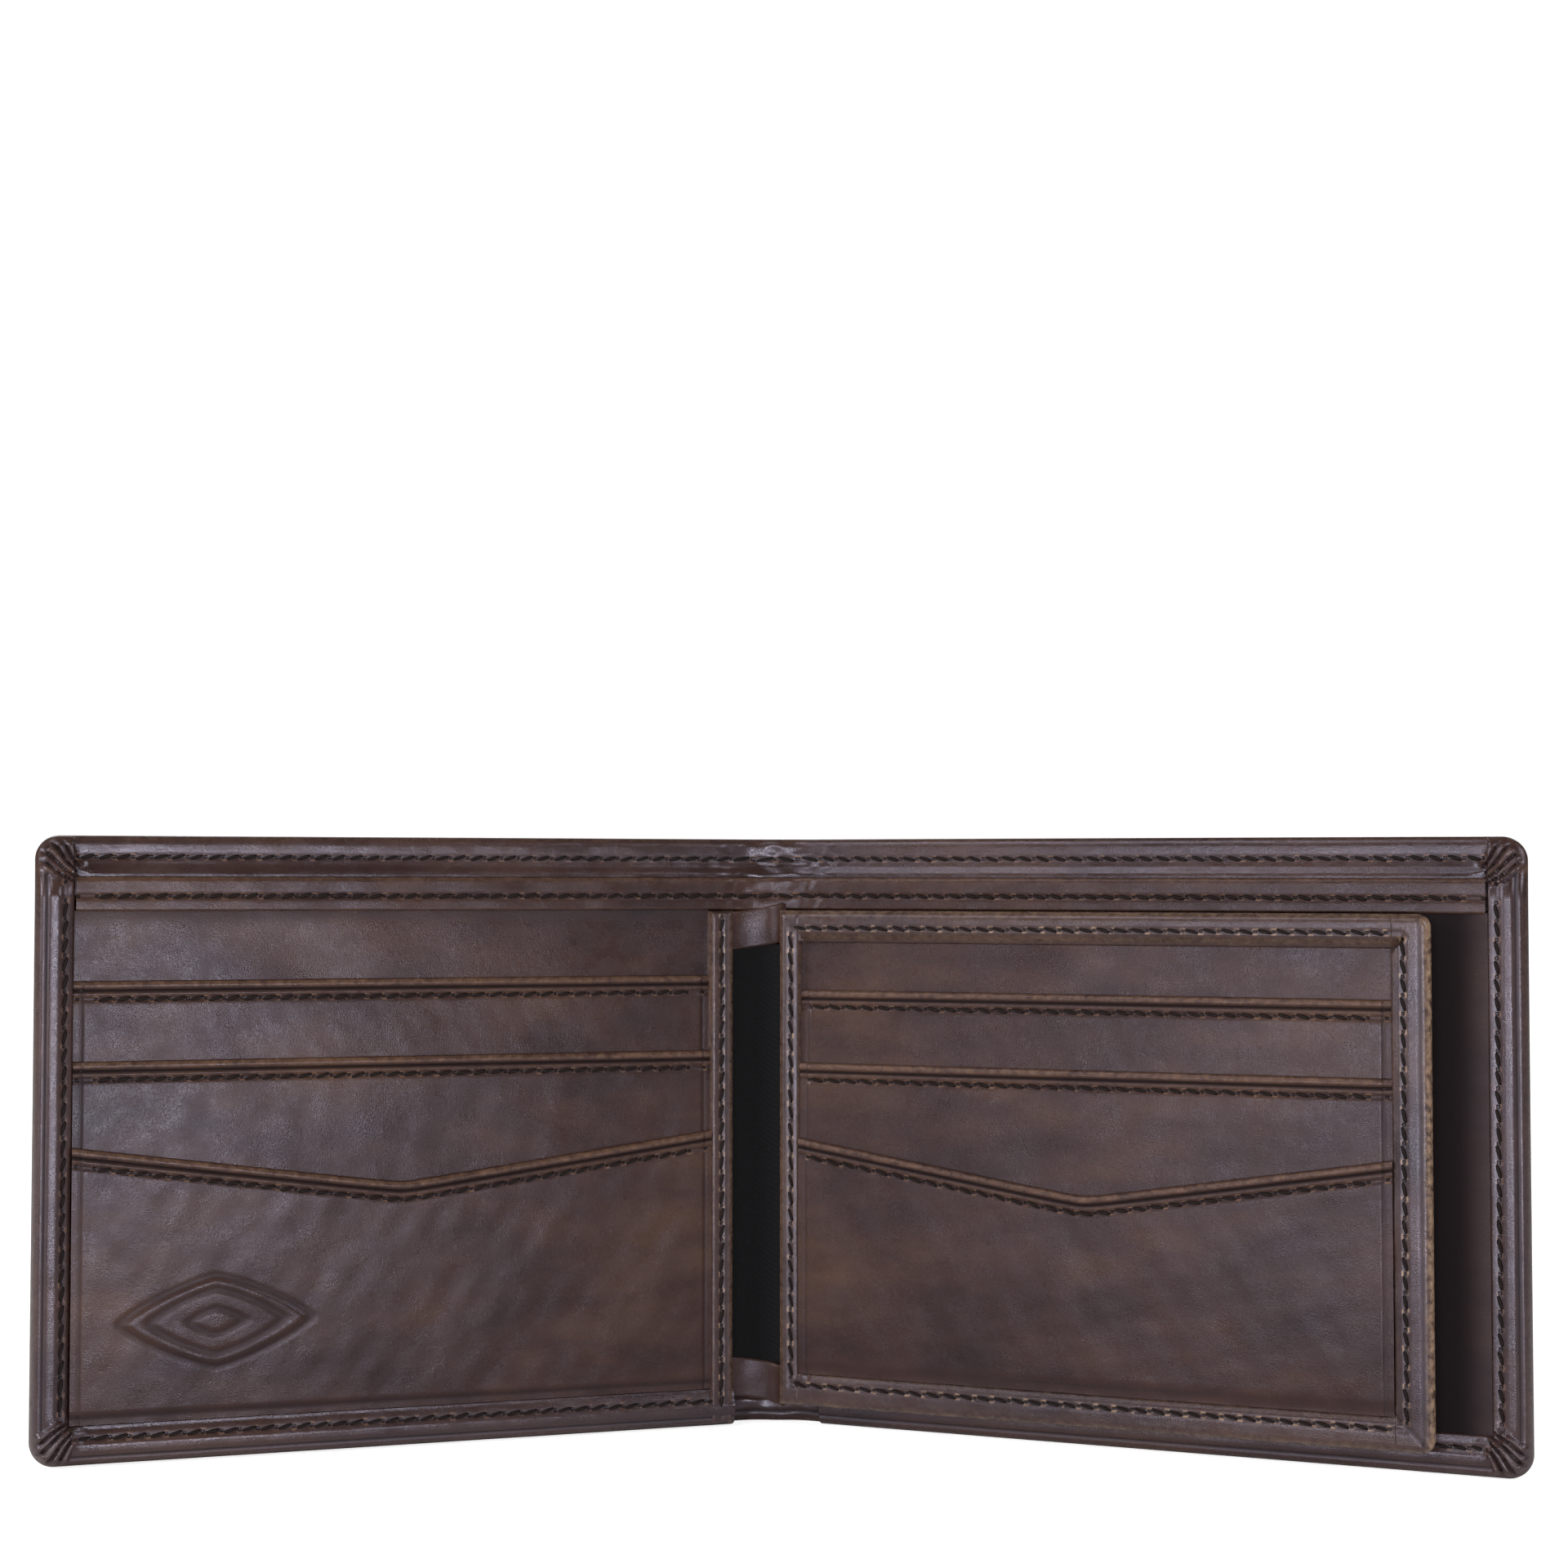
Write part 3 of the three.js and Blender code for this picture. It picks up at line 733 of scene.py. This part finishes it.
def pocket(prefix, name, side, body, seed, foot_crease=0.0, device=None, step=0.7 * MM):
    """A card pocket with a rolled bead, a tooled crease and a stitched line along its mouth."""
    own = Extent(f"{prefix}_pocket_{name}")
    overlap = 0.45 * MM
    ends = np.array([0.2, 0.4, 0.6, 0.8, 1.0, 1.2, 1.4, 1.6, 1.8]) * MM
    s_lines = axis_lines(own.s0 - overlap, own.s1 + overlap, step, ends, ends)
    insets = np.array([0, 0.03, 0.09, 0.18, 0.3, 0.45, 0.6, 0.76, 0.92, 1.08, 1.2, 1.3, 1.4, 1.5, 1.62,
                       1.78, 1.95, 2.1, 2.25, 2.4, 2.6, 2.8, 3.0, 3.25, 3.6]) * MM
    mouth = mouth_height(s_lines, own)[:, None]
    shares = np.linspace(0, 1, max(3, int((own.dip - own.z0) / step)))
    below = (mouth - insets[-1] - own.z0 + overlap) * shares[None, :] + own.z0 - overlap
    Z = np.concatenate([below, mouth - insets[::-1][None, 1:]], axis=1)
    S = np.repeat(s_lines[:, None], Z.shape[1], axis=1)
    drop = mouth - Z
    from_ends = np.minimum(S - own.s0, own.s1 - S)
    bead = smooth(drop, 0.1 * MM, 0.6 * MM) * (1 - smooth(drop, 0.75 * MM, 1.25 * MM))
    crease = ridge(drop - 1.4 * MM, 0.2 * MM)
    second = smooth(drop, 1.45 * MM, 1.8 * MM) * (1 - smooth(drop, 1.9 * MM, 2.4 * MM))
    seam = ridge(drop - MOUTH_SEAM, 0.38 * MM)
    tuck = smooth(from_ends, 0.6 * MM, 1.2 * MM)
    pressed = ridge(from_ends - 0.75 * MM, 0.2 * MM)
    uneven = waves(S, Z, seed, 19 * MM) * 0.08 * MM + waves(S, Z, seed + 5, 6 * MM) * 0.04 * MM
    uneven = uneven * smooth(from_ends, 0, 3 * MM) - 0.16 * MM * (1 - tuck) - 0.06 * MM * pressed
    uneven = uneven - 0.3 * MM * (1 - smooth(Z - own.z0, 0, 1.3 * MM))
    face = own.t1 + uneven + bead * 0.16 * MM - crease * 0.28 * MM + second * 0.07 * MM - seam * 0.16 * MM
    foot_line = np.zeros_like(S)
    if foot_crease:
        foot_line = ridge(Z - own.z0 - foot_crease, 0.35 * MM)
        face = face - foot_line * 0.14 * MM
    stamp = np.zeros_like(S)
    if device is not None:
        raised, stamp = device(S, Z)
        face = face + raised
    front = own.t0 + (face - own.t0) * roll(drop, 0.5 * MM)
    # Paler tan on the mouth's bead and second roll: wear and painted highlight; painted shade in the
    # crease, seam, foot line, pressed lines and stamp.
    wear = 0.6 * smooth(drop, 0.05 * MM, 0.25 * MM) * (1 - smooth(drop, 0.7 * MM, 1.2 * MM))
    wear = wear + 0.25 * np.exp(-drop / (0.25 * MM)) + 0.25 * second
    groove = 0.95 * crease + 0.12 * seam + 0.5 * foot_line + 0.35 * pressed + stamp
    piece = slab(f"{prefix}_pocket_{name}_hide", side, S, Z, front, np.full_like(S, own.t0), wear, groove,
                 seam=seam, along=S)
    finish_piece(piece, INNER_LEATHER, [f"{prefix}_pocket_{name}"], body=body)
    margin = 0.6 * MM
    row = stitches(f"{prefix}_pocket_{name}_stitches", side, own.s0 + margin, own.s1 - margin,
                   lambda x: float(mouth_height(np.array(x), own)) - MOUTH_SEAM, own.t1 - 0.1 * MM)
    finish_piece(row, THREAD, [f"{prefix}_pocket_{name}_thread"], body=body)


def lozenge(s_centre, z_centre, half_width, half_height):
    """A plain stamped lozenge: a raised pad with nested pressed lines."""

    def shape(S, Z):
        across, up = np.abs(S - s_centre) / half_width, np.abs(Z - z_centre) / half_height
        reach = (across ** 1.25 + up ** 1.25) ** 0.8
        raised = (1 - smooth(reach, 0.92, 1.06)) * 0.25 * MM
        inner = ridge(reach - 0.74, 0.06)
        outline = ridge(reach - 1.05, 0.06)
        heart = ridge(reach - 0.3, 0.06)
        return raised - (inner + heart) * 0.2 * MM - outline * 0.15 * MM, 0.35 * (inner + outline + heart)

    return shape


def edge_band():
    """The binding that closes the card pockets at their spine side."""
    own = Extent("left_edge_band")
    low, high = 0.5 * MM, own.z1 + 0.2 * MM
    insets = EDGE_INSETS
    seam_s = own.s1 - 1.7 * MM
    seam_lines = seam_s + np.linspace(-0.5, 0.5, 5) * MM
    s_lines = axis_lines(own.s0, own.s1, 0.25 * MM, insets, insets[:6], seam_lines)
    z_lines = axis_lines(low, high, 0.7 * MM, insets[:6], insets[:6])
    S, Z = np.meshgrid(s_lines, z_lines, indexing="ij")
    inner, outer = S - own.s0, own.s1 - S
    seam = ridge(S - seam_s, 0.38 * MM)
    second = ridge(S - own.s0 - 1.5 * MM, 0.2 * MM)
    face = own.t1 + 0.12 * MM + waves(S, Z, 71, 9 * MM) * 0.09 * MM
    face = face - seam * GROOVE_DEPTH - second * 0.14 * MM
    edge = np.minimum(roll(inner, 1.3 * MM), roll(outer, 0.3 * MM))
    edge = np.minimum(edge, roll(np.minimum(Z - low, high - Z), 0.5 * MM))
    front = own.t0 + (face - own.t0) * edge
    # Pale tan along both rolled edges: wear and painted highlight; painted shade in the seam and the tooled
    # line.
    wear = 0.7 * np.exp(-inner / (0.8 * MM)) + 0.3 * np.exp(-outer / (0.3 * MM))
    groove = 0.15 * seam + 0.6 * second
    piece = slab("left_edge_band_hide", -1, S, Z, front, np.full_like(S, own.t0), wear, groove,
                 seam=seam, along=Z)
    finish_piece(piece, EDGE_LEATHER, ["left_edge_band"], body="left_half")
    row = stitches("left_edge_band_stitches", -1, low + 2 * MM, high - 0.5 * MM, level(seam_s),
                   own.t1 + 0.12 * MM - GROOVE_DEPTH * 0.6, upright=True)
    finish_piece(row, THREAD, ["left_edge_band_thread"], body="left_half")


# ---- the flap ----
FLAP_CORNER = 1.9 * MM


def flap_shell():
    """The flap's back hide, turned over its four edges as a binding."""
    spine, outer = Extent("flap_binding_spine"), Extent("flap_binding_outer")
    top, foot = Extent("flap_binding_top"), Extent("flap_binding_bottom")
    back, flap_face = Extent("flap_back"), Extent("flap_base").t1
    s0, s1, z0, z1 = spine.s0, outer.s1, spine.z0, spine.z1
    widths = {"spine": spine.s1 - spine.s0, "outer": outer.s1 - outer.s0,
              "top": top.z1 - top.z0, "foot": foot.z1 - foot.z0}
    s_lines = axis_lines(s0, s1, 0.7 * MM, hem_insets(widths["spine"]), hem_insets(widths["outer"]))
    z_lines = axis_lines(z0, z1, 0.75 * MM, hem_insets(widths["foot"]), hem_insets(widths["top"]))
    S, Z = np.meshgrid(s_lines, z_lines, indexing="ij")
    insets = {"spine": S - s0, "outer": s1 - S, "top": z1 - Z, "foot": Z - z0}
    inset = np.minimum.reduce(list(insets.values()))
    front = np.full_like(S, back.t1)
    lift = {"spine": 0.1 * MM, "outer": 0.28 * MM, "top": 0.0, "foot": 0.06 * MM}
    for edge in ("top", "foot", "spine", "outer"):
        profile = roll(np.maximum(widths[edge] - insets[edge], 0), 0.35 * MM)
        front = np.maximum(front, back.t1 + (spine.t1 + lift[edge] - back.t1) * profile)
    seams = {"spine": 2.1 * MM, "outer": 3.8 * MM, "top": 2.7 * MM, "foot": 3.3 * MM}
    slope = {"spine": 0.25, "outer": 0.25, "top": 0.8, "foot": 0.3}
    lip = np.zeros_like(S)
    for edge, at in seams.items():
        within = (insets[edge] < widths[edge]) & (insets[edge] <= inset + 1e-9)
        share = slope[edge] * smooth(insets[edge], at + 0.2 * MM, widths[edge]) * within
        lip = np.maximum(lip, share * (front - flap_face))
    front = front - lip
    seam = np.zeros_like(S)
    for edge, at in seams.items():
        others = [insets[other] - seams[other] for other in seams if other != edge]
        inside_others = np.minimum.reduce(others) > -0.2 * MM
        seam = np.maximum(seam, ridge(insets[edge] - at, 0.4 * MM) * inside_others)
    for z_edge in (z0, z1):
        S, Z = round_corner(S, Z, s1, z_edge, FLAP_CORNER)
    on_binding = smooth(front, back.t1 + 0.3 * MM, back.t1 + MM)
    upright = (insets["spine"] < widths["spine"]) | (insets["outer"] < widths["outer"])
    along = np.where(upright, Z, S)
    mitre = ridge(insets["foot"] - insets["outer"], 0.3 * MM) * (insets["outer"] < widths["outer"])
    uneven = waves(S, Z, 91, 11 * MM) * 0.07 * MM
    edge_line = ridge(insets["outer"] - 1.5 * MM, 0.2 * MM)
    face = front + uneven * on_binding - (seam * GROOVE_DEPTH + edge_line * 0.14 * MM) * on_binding
    face = face - mitre * 0.1 * MM * on_binding
    middle = (spine.t0 + front) / 2
    shown = middle + (face - middle) * roll(inset, 1.2 * MM)
    behind = middle + (spine.t0 - middle) * roll(inset, 1.2 * MM)
    behind = behind + waves(S, Z, 95, 20 * MM) * 0.05 * MM * roll(inset, 2 * MM)
    # Pale tan on the outer edge and the binding's rim: wear and painted highlight; painted shade in the
    # seams, edge line and mitre.
    wear = 0.95 * np.exp(-((insets["outer"] / (0.75 * MM)) ** 2)) + 0.6 * np.exp(-inset / (0.5 * MM))
    wear = wear + 0.25 * ridge(front - back.t1 - 1.8 * MM, 0.5 * MM)
    groove = (0.15 * seam + 0.5 * edge_line + 0.5 * mitre) * on_binding
    piece = slab("flap_shell_hide", 1, S, Z, shown, behind, wear, groove, seam=seam, along=along)
    nodes = [f"flap_binding_{edge}" for edge in ("spine", "outer", "top", "bottom")] + ["flap_back"]
    finish_piece(piece, EDGE_LEATHER, nodes, body="flap")
    low_s, high_s = s0 + seams["spine"], s1 - seams["outer"]
    low_z, high_z = z0 + seams["foot"], z1 - seams["top"]
    runs = {"foot": (low_s, high_s, low_z, False), "outer": (low_z, high_z, high_s, True),
            "top": (low_s, high_s, high_z, False), "spine": (low_z, high_z, low_s, True)}
    for edge, (low, high, at, upright) in runs.items():
        row = stitches(f"flap_{edge}_stitches", 1, low, high, level(at),
                       spine.t1 + lift[edge] - GROOVE_DEPTH * 0.6, upright)
        finish_piece(row, THREAD, ["flap_binding_thread"], body="flap")


def flap_base():
    """The flap's leaf behind its pockets."""
    own = Extent("flap_base")
    reach = 0.65 * MM
    S, Z = np.meshgrid(axis_lines(own.s0 - reach, own.s1 + reach, MM),
                       axis_lines(own.z0 - reach, own.z1 + reach, MM), indexing="ij")
    front = own.t1 + waves(S, Z, 97, 18 * MM) * 0.1 * MM
    piece = slab("flap_base_hide", 1, S, Z, front, np.full_like(S, own.t0))
    finish_piece(piece, INNER_LEATHER, ["flap_base"], body="flap")


# ---- the strip that hinges the flap: black fabric with a leather tab at each end ----
def hinge_strip():
    """Fabric and tabs on one curve from the left panel's band to the flap's spine edge."""
    parts = ("fabric", "tab_top", "tab_bottom")
    cloth, tab_top, tab_foot = (Extent(f"flap_hinge_{part}") for part in parts)
    flap = Extent("flap_binding_spine")
    band = Extent("left_edge_band")
    from_band = place(-1, band.s0 + 1.2 * MM, band.t0 + 0.6 * MM, 0.0)
    to_flap = place(1, flap.s0 + 0.5 * MM, (flap.t0 + flap.t1) / 2, 0.0)
    middle_y = FOLD_Y + FOLD_DEPTH - cloth.t0
    knots = np.array([
        from_band[:2],
        (cloth.s0 + 0.4 * MM, middle_y),
        (cloth.s1, middle_y - 0.3 * MM),
        to_flap[:2],
    ])
    share = np.linspace(0, 1, 25)
    weights = [(1 - share) ** 3, 3 * share * (1 - share) ** 2, 3 * share ** 2 * (1 - share), share ** 3]
    line = sum(w[:, None] * k[None, :] for w, k in zip(weights, knots))
    tangent = np.gradient(line, axis=0)
    normal = np.stack([tangent[:, 1], -tangent[:, 0]], 1) / np.hypot(*tangent.T)[:, None]
    half = 12
    halves = {"left": slice(0, half + 1), "right": slice(half, None)}
    cloth_look, tab_look = (LINING, "lining_fabric"), (INNER_LEATHER, "inner_leather")
    pieces = (
        ("cloth", cloth_look, "flap_hinge_fabric", tab_foot.z1 - MM, tab_top.z0 + MM, 0.12, 0.0),
        ("tab_top", tab_look, "flap_hinge_tab_top", tab_top.z0, tab_top.z1, 0.45, 1.0),
        ("tab_foot", tab_look, "flap_hinge_tab_bottom", tab_foot.z0, tab_foot.z1, 0.45, -1.0),
    )
    for label, (material, slot), node, z0, z1, thickness, flare in pieces:
        for side_name, part in halves.items():
            step = 0.5 * MM if flare else 3 * MM
            z_lines = axis_lines(z0, z1, step, EDGE_INSETS[:6], EDGE_INSETS[:6])
            rows, columns = len(line[part]), len(z_lines)
            Z = np.repeat(z_lines[None, :], rows, axis=0)
            edge = roll(np.minimum(Z - z0, z1 - Z), 0.3 * MM)
            uneven = waves(np.repeat(share[part][:, None], columns, axis=1) * 8 * MM, Z, 103, 4 * MM)
            off = thickness * MM * edge + uneven * 0.06 * MM * (1 if flare else 0.3)
            Z = Z + flare * MM * 1.4 * share[part][:, None]
            base = np.repeat(line[part][:, None, :], columns, axis=1)
            out = np.repeat(normal[part][:, None, :], columns, axis=1)
            near, far = base + out * off[..., None], base - out * (thickness * MM * edge)[..., None]
            piece = loft(f"flap_hinge_{label}_{side_name}", near, far, Z, edge, flare)
            piece.data.materials.append(material)
            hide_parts(node)
            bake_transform(piece)


def loft(name, near, far, Z, edge, flare):
    """A closed sheet between two grids of (x, y) places at the heights Z."""
    points = np.concatenate([
        np.concatenate([near, Z[..., None]], -1).reshape(-1, 3),
        np.concatenate([far, Z[..., None]], -1).reshape(-1, 3),
    ])
    wear = np.tile((0.5 * (1 - edge) if flare else 0 * edge).ravel(), 2)
    flat = points[:, [0, 2, 1]]
    attributes = [("wear", wear), ("groove", wear * 0)]
    return add_mesh(name, points, closed_faces(*Z.shape), attributes, weld=True, flat=flat)


# ---- floor, backdrop and lights ----
def make_stage():
    """A pale sweep of paper, brightened only where it is seen directly."""
    profile = [(-1.0, 0.0), (0.9, 0.0)]
    turns = np.linspace(0.1, math.pi / 2, 12)
    profile += [(0.9 + 0.6 * math.sin(turn), 0.6 - 0.6 * math.cos(turn)) for turn in turns]
    profile += [(1.5, 3.0)]
    points = np.array([(x, y, z) for x in (-3.5, 3.5) for y, z in profile])
    count = len(profile)
    faces = [[i, i + 1, i + 1 + count, i + count] for i in range(count - 1)]
    mesh = bpy.data.meshes.new("studio_sweep")
    mesh.from_pydata(points.tolist(), [], faces)
    mesh.shade_smooth()
    sweep = bpy.data.objects.new("studio_sweep", mesh)
    bpy.context.scene.collection.objects.link(sweep)
    material, shader, _, link = node_tools("studio_paper")
    shader.inputs["Base Color"].default_value = (0.92, 0.92, 0.92, 1)
    shader.inputs["Roughness"].default_value = 0.9
    shader.inputs["Specular IOR Level"].default_value = 0.1
    shader.inputs["Emission Color"].default_value = (1, 1, 1, 1)
    glow = material.node_tree.nodes.new("ShaderNodeMapRange")
    glow.inputs["To Min"].default_value = 0.0
    glow.inputs["To Max"].default_value = 0.8
    link(seen_directly(material.node_tree), glow.inputs["Value"])
    link(glow.outputs["Result"], shader.inputs["Emission Strength"])
    mesh.materials.append(material)


def soft_box(name, azimuth, elevation, size, power, distance=1.2):
    """A softbox aimed at the wallet from an azimuth (0 is in front, positive to the right)."""
    turn, lift = math.radians(azimuth), math.radians(elevation)
    middle = Vector((0, 0, 45 * MM))
    way = Vector((math.sin(turn) * math.cos(lift), -math.cos(turn) * math.cos(lift), math.sin(lift)))
    data = bpy.data.lights.new(name, "AREA")
    data.shape = "RECTANGLE"
    data.size, data.size_y = size
    data.energy = power
    light = bpy.data.objects.new(name, data)
    light.location = middle + way * distance
    light.rotation_euler = (-way).to_track_quat("-Z", "Y").to_euler()
    bpy.context.scene.collection.objects.link(light)


def seen_directly(tree):
    return tree.nodes.new("ShaderNodeLightPath").outputs["Is Camera Ray"]


def make_lights():
    """Two low boxes for the sheen at the outer ends, and broad ones around the wallet."""
    soft_box("low_right", 9, -2, (0.11, 0.08), 0.72, distance=0.52)
    soft_box("low_left", -14, 0, (0.16, 0.08), 0.38, distance=0.52)
    soft_box("side_left", -62, 18, (0.4, 0.5), 5.6)
    soft_box("side_right", 58, 28, (0.4, 0.4), 2.8)
    soft_box("high_left", -35, 52, (0.5, 0.5), 2.4)
    soft_box("back_left", 205, 40, (0.5, 0.5), 2.2)
    soft_box("back_right", 150, 25, (0.5, 0.5), 1.6)
    world = bpy.data.worlds.new("studio")
    world.use_nodes = True
    tree = world.node_tree
    strength = tree.nodes.new("ShaderNodeMapRange")
    strength.inputs["To Min"].default_value = 0.04
    strength.inputs["To Max"].default_value = 1.0
    tree.links.new(seen_directly(tree), strength.inputs["Value"])
    background = tree.nodes["Background"]
    background.inputs["Color"].default_value = (1, 1, 1, 1)
    tree.links.new(strength.outputs["Result"], background.inputs["Strength"])
    bpy.context.scene.world = world
    bpy.context.scene.view_settings.view_transform = "Standard"


make_camera()
make_stage()
make_lights()
for half_name in SIDES:
    cover_half(half_name)
    hem_stitches(half_name)
    lining_half(half_name, "rear")
    lining_half(half_name, "front")
    top_strip_half(half_name)
    inner_panel(half_name)
panel = Extent("left_pocket_lower")
foot_of_hem = 0.7 * MM
stamp = lozenge(panel.s1 - 20 * MM, 20 * MM, 13 * MM, 6.2 * MM)
pocket("left", "upper", -1, "left_half", 201)
pocket("left", "middle", -1, "left_half", 202)
pocket("left", "lower", -1, "left_half", 203, foot_of_hem, stamp, step=0.33 * MM)
edge_band()
flap_shell()
flap_base()
pocket("flap", "upper", 1, "flap", 301)
pocket("flap", "middle", 1, "flap", 302)
pocket("flap", "lower", 1, "flap", 303, foot_of_hem)
hinge_strip()
